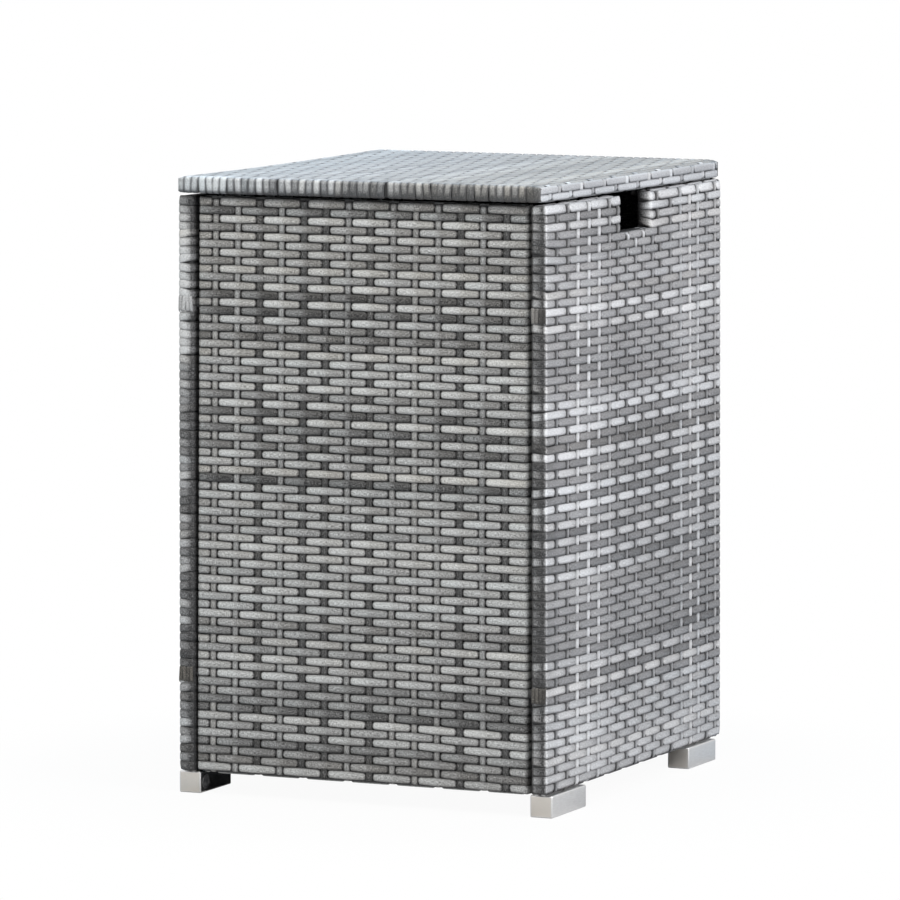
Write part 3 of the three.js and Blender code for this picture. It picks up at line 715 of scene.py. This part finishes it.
side_strand = strand_material("side_strand_grey", (0.024, 0.0235, 0.024), (0.25, 0.249, 0.252),
                              (0.64, 0.645, 0.65), 0.4, 0.22, 0.24)
right_patches = [*upright_patch(-1, patch_heights[0], (0.0, 0.03, 0.3, 0.4), 71, 0.4),
                 *upright_patch(-1, patch_heights[1], (0.02, 0.06, 0.16, 0.12), 75, 0.7)]
# Round the front post the rows are painted lighter at its inner side and darker before the corner, as light
# and shade, with a painted highlight on the corner.
weave_panel("right", side_strand, side_width, side_warps, right_warp_tones,
            band_tones(right_bands, 8), right_place, 3, notch=hose_notch, slants=right_slants,
            patched={row: [near_edge] for row in patch_rows}, patches=right_patches,
            edges=((0.24, -0.8, 0.26, 0.03), plain), loose=0.9, drift=right_drift, sag=right_sag,
            form=soft, begin=1, wash=right_painted_shading, bow=side_bow_shading)


# Left side panel. The same weave without a notch; its front post shows at the photograph's
# left edge, where lighter and darker lengths of strand follow each other.
left_face = measured("left_weave")[0][0]


def left_place(along, up, depth):
    """Sets the panel upright, leaning 1.6 mm outward at the bottom."""
    return left_face + depth - 1.6 * mm * (1 - up / panel_height), -along, body_bottom + up


left_bands = [(0, 0.34, 0.36), (2, 0.92, 0.96), (14, 0.8, 0.74), (20, 0.58, 0.5), (25, 0.36, 0.46),
              (30, 0.3, 0.66), (32, 0.64, 0.56), (35, 0.3, 0.36), (38, 0.66, 0.26), (41, 0.28, 0.58),
              (44, 0.58, 0.2), (47, 0.5, 0.2), (48, 0.62, 0.24), (51, 0.22, 0.26), (57, 0.48, 0.54),
              (61, 0.6, 0.34), (64, 0.58, 0.36), (66, 0.2, 0.16)]
left_warp_tones = [0.6, 0.7, 0.55, 0.9, 0.6, 0.62, 0.9, 0.55, 0.6, 0.72, 0.55, 0.9, 0.6, 0.62, 0.55,
                   0.9, 0.6, 0.55]
left_patches = [*upright_patch(1, patch_heights[0], (0.66, 0.8, 0.76, 0.7), 81),
                *upright_patch(1, patch_heights[1], (0.12, 0.18, 0.1, 0.16), 85, 0.8)]
# Round the front post the rows take a faint painted highlight on the corner.
weave_panel("left", side_strand, side_width, side_warps, left_warp_tones,
            band_tones(left_bands, 11), left_place, 4, loose=1.1, patches=left_patches,
            patched={row: [far_edge] for row in patch_rows}, edges=(plain, (0.0, 0.06, 0.1, 0.0)))


# Lid. One woven panel laid flat, its wefts running front to back over the top and down round
# the front and back edges. It is loose, and its back left corner has lifted a little.
lid_low, lid_high, (lid_width, lid_depth, _) = measured("lid_weave")
lid_round, lid_rows, lid_stretch, lid_lift = 5 * mm, 50, 1.007, 3.6 * mm
lid_middle = (lid_low[0] + lid_high[0]) / 2 + 0.2 * mm
lift_from = -100 * mm  # it rises from here to its back edge
lid_form = dict(soft, sides=(0.9, 0.9), hollow=0.5, edge=2.4, lag=0.6 * mm)
first_side, last_side = dict(lid_form, sides=(0.9, 0)), dict(lid_form, sides=(0, 0.9))
lid_warps = [y * mm for y in (-203.5, -181, -153.5, -126, -98.5, -69.5, -41, -12, 15, 45, 74, 102,
                              129, 158, 187, 216)]
lid_warp_tones = [0.85, 0.66, 0.9, 0.95, 0.6, 0.7, 0.62, 0.95, 0.7, 0.9, 0.9, 0.95, 0.6, 0.66, 0.88, 0.8]
lid_strips = [0.16, 0.26, 0.4, 0.52, 0.62, 0.56, 0.46, 0.34, 0.38, 0.3, 0.26, 0.16, 0.3, 0.28, 0.3,
              0.46, 0.52, 0.4, 0.44, 0.62, 0.56, 0.34, 0.3, 0.34, 0.4, 0.18, 0.46, 0.44, 0.64, 0.3,
              0.64, 0.34, 0.62, 0.38, 0.62, 0.46, 0.4, 0.5, 0.62, 0.56, 0.36, 0.4, 0.5, 0.64, 0.76,
              0.78, 0.74, 0.36, 0.64, 0.5]
lid_slants = {14: -1.8, 20: -2.0, 21: 2.4, 22: 1.2, 23: 1.8, 35: -1.6, 36: 1.2}


def lid_place(along, up, depth):
    """Turns the panel flat, lifts its back edge, most at the left, and rounds its corners."""
    x, y = lid_width / 2 - up, along
    lift = np.clip((y - lift_from) / (lid_depth / 2 - lift_from), 0, 1) ** 1.5
    lift = lid_lift * lift * (0.5 + 0.5 * np.clip(0.5 - x / lid_width, 0, 1)) * (1 - depth / thickness)
    past_x, past_y = np.abs(x) - lid_width / 2 + lid_round, np.abs(y) - lid_depth / 2 + lid_round
    reach = np.hypot(past_x, past_y)
    outside = (past_x > 0) & (past_y > 0) & (reach > lid_round)
    pull = np.where(outside, lid_round / np.maximum(reach, 1e-6) - 1, 0)
    x, y = x + np.sign(x) * past_x * pull, y + np.sign(y) * past_y * pull
    return lid_middle + lid_stretch * x, y, lid_high[2] - depth + lift


def weave_lid():
    """lid_strips are the greys that the rows show on the front edge. On top they are painted closer
    together, standing in for the sheen there, and on the front edge paler towards the left and
    darker at the bottom towards the right, as light and shade.
    """
    def passed(number):
        return [at for j, at in enumerate(lid_warps) if (j + number) % 2 == 0]

    dice = np.random.default_rng(21)
    pitch = lid_width / lid_rows
    heights = [(row + 0.5) * pitch for row in range(lid_rows)]
    tones = [0.47 + 0.4 * (strip - 0.5) + dice.normal(0, 0.03) for strip in lid_strips]
    wefts = []
    for row, height in enumerate(heights):
        # Painted light and shade on the front edge: paler towards the left, its bottom darker towards the
        # right, and a faint painted highlight on the bend.
        right = np.interp(row, [0, 12, 24, 49], [1, 0.9, 0.45, -0.3])
        lighter = np.interp(lid_strips[row], [0, 0.46, 0.8], [0, 0.44, 0.68]) - tones[row]
        lighter += np.interp(row, [0, 15, 36, 42, 49], [-0.08, -0.04, 0.02, 0.2, 0.34])
        fall = (lighter + 0.12 - 0.36 * right, lighter + 0.02, lighter + 0.06, lighter)
        form, roll = {0: (first_side, -0.5), lid_rows - 1: (last_side, 0.5)}.get(row, (lid_form, 0))
        wefts.append(weft(-lid_depth / 2, lid_depth, height, pitch, passed(row), tones[row], 6000 + row,
                          slant=lid_slants.get(row, 0.0) * mm, edges=(fall, fall), loose=0.5, form=form,
                          tint=0.6 * right + dice.normal(0, 0.1) - 0.1, roll=roll))
    order = edge_rows(lid_width, heights)
    for k in rim_courses:
        inset, width = (14 * mm, 6.4 * mm) if k in behind_panel else (rim_inset, 7.4 * mm)
        form = {3: first_side, -4: last_side}.get(k, lid_form)
        wefts.append(rim_weft(inset - lid_depth / 2, lid_depth / 2 - inset, lid_width, order[k],
                              passed(k % len(order)), 0.6 + 0.15 * dice.random(), 6100 + k, width, form))
    # On the lid's top the warps are painted darker, as shade.
    crosses = [warp(at, lid_width, order, j, lid_warp_tones[j], 6500 + j, form=lid_form, face=-0.5)
               for j, at in enumerate(lid_warps)]
    pieces = [build_strands("lid_wefts", wefts, lid_place), build_strands("lid_warps", crosses, lid_place)]
    finish_weave(pieces, lid_strand, "lid", "lid_weave")


# The lid's strand is paler in its darks and middle greys and cooler than the panels': painted light and sky
# reflection for the lid's top.
lid_strand = strand_material("lid_strand_grey", (0.05, 0.052, 0.056), (0.28, 0.286, 0.296),
                             (0.64, 0.655, 0.67), 0.6, 0.18, 0.16)
weave_lid()


# Bolts and spacers. Zinc-plated button-head bolts join each upright of the front and back
# panels to a side panel's upright, over a black nylon ring that keeps the 4 mm gap.
def clouded_material(name, metallic, specular, stretch, cloud, colours, rough, relief):
    """One noise drives the colour, the roughness and the relief. cloud is its scale and detail."""
    material, tree, shader = new_material(name, metallic, specular)
    grain = noise(tree, object_places(tree, stretch), *cloud)
    finish_skin(tree, shader, ramp(tree, grain, colours), (grain, *rough), (grain, *relief))
    return material


def moulded_black(name, grain, roughness, paler=1.0):
    dark = tuple(paler * part for part in (0.012, 0.012, 0.013))
    light = tuple(paler * part for part in (0.03, 0.03, 0.031))
    return clouded_material(name, 0.0, 0.4, (1, 1, 1), (grain, 3), [(0.35, dark), (0.7, light)],
                            (roughness - 0.08, roughness + 0.08), (0.3, 0.2 * mm))


zinc = clouded_material("zinc_plated_steel", 1.0, 0.5, (1, 1, 1), (400, 4),
                        [(0.3, (0.42, 0.44, 0.46)), (0.7, (0.66, 0.67, 0.68))], (0.22, 0.4),
                        (0.15, 0.1 * mm))
dress(("bolt_", "foot_screw_"), zinc)
dress(("spacer_",), moulded_black("spacer_nylon", 700, 0.5))


# Feet. Each is a block of brushed aluminium section, 22 mm high and about 76 mm long, screwed up
# into the bottom rail, with a round plug pressed into the side that looks inwards.
foot_widening, edge_softness = 0.7 * mm, 1.5 * mm
plug_inset, plug_radius, bead_radius, plug_depth = 11 * mm, 6.4 * mm, 1.0 * mm, 1.2 * mm
foot_longer = {"foot_front_right": 8 * mm, "foot_back_right": -3 * mm, "foot_front_left": -7 * mm}


def brushed_aluminium(name, dull, bright):
    return clouded_material(name, 1.0, 0.5, (60, 4, 60), (30, 6, 0.7), [(0.3, dull), (0.7, bright)],
                            (0.28, 0.46), (0.12, 0.1 * mm))


def foot_block(cad_name, inner, out):
    """inner is the direction along X in which the foot's black side looks, and out is how far
    the foot stands outwards of its place."""
    low, high = [Vector(corner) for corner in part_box(cad_name)]
    low.x, high.x = low.x - foot_widening - inner * out, high.x + foot_widening - inner * out
    high.y += foot_longer.get(cad_name, 0)
    bpy.ops.mesh.primitive_cube_add(size=1, location=(low + high) / 2)
    block = bpy.context.object
    block.scale = high - low
    bpy.ops.object.transform_apply(location=True, rotation=False, scale=True)
    soften = block.modifiers.new("rounded_edges", "BEVEL")
    soften.width, soften.segments = edge_softness, 4
    soften.limit_method = "NONE"
    bpy.ops.object.modifier_apply(modifier=soften.name)
    bpy.ops.object.shade_smooth()
    block.name = f"{cad_name}_block"
    for material in (aluminium, black_inner_side, aluminium_end_reflection):
        block.data.materials.append(material)
    for face in block.data.polygons:
        if face.normal.x * inner > 0.99:
            face.material_index = 1
        if abs(face.normal.y) > 0.99:
            face.material_index = 2
    return block


def foot_plug(cad_name, inner, end, out):
    """The round plug in the foot's inner side, near its end: a disc with a bead round it."""
    low, high = [Vector(corner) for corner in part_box(cad_name)]
    side = (high.x if inner > 0 else low.x) + inner * (foot_widening - out)
    place = (side, low.y + plug_inset if end < 0 else high.y - plug_inset, (low.z + high.z) / 2)
    upright = (0, math.pi / 2, 0)
    bpy.ops.mesh.primitive_torus_add(major_segments=48, minor_segments=12, location=place,
                                     major_radius=plug_radius + 0.2 * mm, minor_radius=bead_radius,
                                     rotation=upright)
    bead = bpy.context.object
    bpy.ops.mesh.primitive_cylinder_add(vertices=48, radius=plug_radius, depth=plug_depth, location=place,
                                        rotation=upright)
    plug = bpy.context.object
    bead.select_set(True)
    bpy.ops.object.join()
    bpy.ops.object.transform_apply(location=True, rotation=True, scale=True)
    bpy.ops.object.shade_smooth_by_angle(angle=math.radians(40))
    plug.name = f"{cad_name}_plug"
    plug.data.materials.append(plug_black)
    return plug


aluminium = brushed_aluminium("brushed_aluminium", (0.56, 0.55, 0.54), (0.73, 0.725, 0.72))
# The blocks' end faces are painted warmer: a painted warm reflection.
aluminium_end_reflection = brushed_aluminium("aluminium_warm_end_reflection", (0.54, 0.505, 0.455), (0.71, 0.68, 0.64))
# The inner side of each foot is made black.
black_inner_side = moulded_black("foot_black_inner_side", 500, 0.3)
plug_black = moulded_black("foot_plug_black", 300, 0.22, 5.0)
for end, y_side in (("front", -1), ("back", 1)):
    for side, inner, out in (("left", 1, 1.4 * mm), ("right", -1, 0.6 * mm)):
        cad_name = f"foot_{end}_{side}"
        block, plug = foot_block(cad_name, inner, out), foot_plug(cad_name, inner, y_side, out)
        for piece in (block, plug):
            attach(piece, "cabinet")
        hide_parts(cad_name)


# Lid pads. Four black rubber buttons under the lid hold it 3 mm off the body.
dress(("lid_pad_",), moulded_black("pad_rubber", 900, 0.72))


# Studio: a pale floor that keeps the object's shadow and runs out to white, soft lamps at the
# right, in front and above, and a white surround for the camera.
def white_floor():
    """Matt grey for the light. The camera sees a trace of that near the object, and white
    further out."""
    fade_from, fade_to = 0.3, 0.62
    material, tree, _ = new_material("floor_white", 0.0)
    tree.nodes.clear()
    matt = add_node(tree, "BsdfDiffuse", {"Color": (0.6, 0.6, 0.6, 1)}).outputs[0]
    white = add_node(tree, "Emission", {"Color": (1, 1, 1, 1)}).outputs[0]
    where = add_node(tree, "TexCoord").outputs["Object"]
    away = add_node(tree, "VectorMath", {0: where}, operation="LENGTH").outputs["Value"]
    fade = spread(tree, away, 0.95, 1.0, fade_from, fade_to, interpolation_type="SMOOTHSTEP")
    camera_ray = add_node(tree, "LightPath").outputs["Is Camera Ray"]
    seen = add_node(tree, "Math", {0: fade, 1: camera_ray}, operation="MULTIPLY").outputs[0]
    mix = add_node(tree, "MixShader", {"Fac": seen, 1: matt, 2: white}).outputs[0]
    add_node(tree, "OutputMaterial", {"Surface": mix})
    return material


bpy.ops.mesh.primitive_circle_add(vertices=96, radius=40, fill_type="NGON")
floor = bpy.context.object
floor.name = "studio_floor"
floor.data.materials.append(white_floor())

world = bpy.data.worlds.new("studio_surround")
bpy.context.scene.world = world
world.use_nodes = True
tree = world.node_tree
sky = tree.nodes["Background"]
sky.inputs["Color"].default_value = (0.95, 0.97, 1.0, 1)
sky.inputs["Strength"].default_value = 0.32
white = add_node(tree, "Background", {"Color": (1, 1, 1, 1)}).outputs[0]
path = add_node(tree, "LightPath")
either = add_node(tree, "Math", {0: path.outputs["Is Camera Ray"], 1: path.outputs["Is Glossy Ray"]},
                  operation="MAXIMUM").outputs[0]
mix = add_node(tree, "MixShader", {"Fac": either, 1: sky.outputs[0], 2: white}).outputs[0]
tree.links.new(mix, tree.nodes["World Output"].inputs["Surface"])


def soft_lamp(name, place, aim_height, size, power, colour):
    """A lamp with a wide face, aimed at the object's middle line."""
    lamp = bpy.data.lights.new(name, "AREA")
    lamp.color = colour
    lamp.shape = "RECTANGLE"
    lamp.size, lamp.size_y = size
    lamp.energy = power
    holder = add_object(name, lamp)
    holder.location = place
    holder.rotation_euler = (Vector((0, 0, aim_height)) - Vector(place)).to_track_quat("-Z", "Y").to_euler()


soft_lamp("key_right", (2.1, -0.4, 1.9), 0.3, (1.4, 1.4), 48, (0.96, 0.95, 1.0))
soft_lamp("edge_strip", (2.1, -0.96, 0.7), 0.3, (0.22, 1.5), 13, (1.0, 1.0, 1.0))
soft_lamp("sky_front", (0.0, -1.7, 2.8), 0.3, (1.8, 1.4), 58, (1.0, 1.0, 0.95))
soft_lamp("sky_top", (-0.3, 1.0, 2.5), 0.6, (1.8, 1.8), 30, (0.5, 0.76, 1.0))

# The camera that was solved from the photograph: it stands round to the right and looks down.
round_right, look_down = math.radians(24.567), math.radians(5.894)
eye = bpy.data.cameras.new("photo_camera")
eye.sensor_width = 36
eye.lens = 256.2
eye.clip_end = 100
camera = add_object("photo_camera", eye)
camera.location = (2.6888, -5.8931, 1.0024)
camera.rotation_euler = (math.pi / 2 - look_down, 0, round_right)
bpy.context.scene.camera = camera
bpy.context.scene.view_settings.view_transform = "Standard"
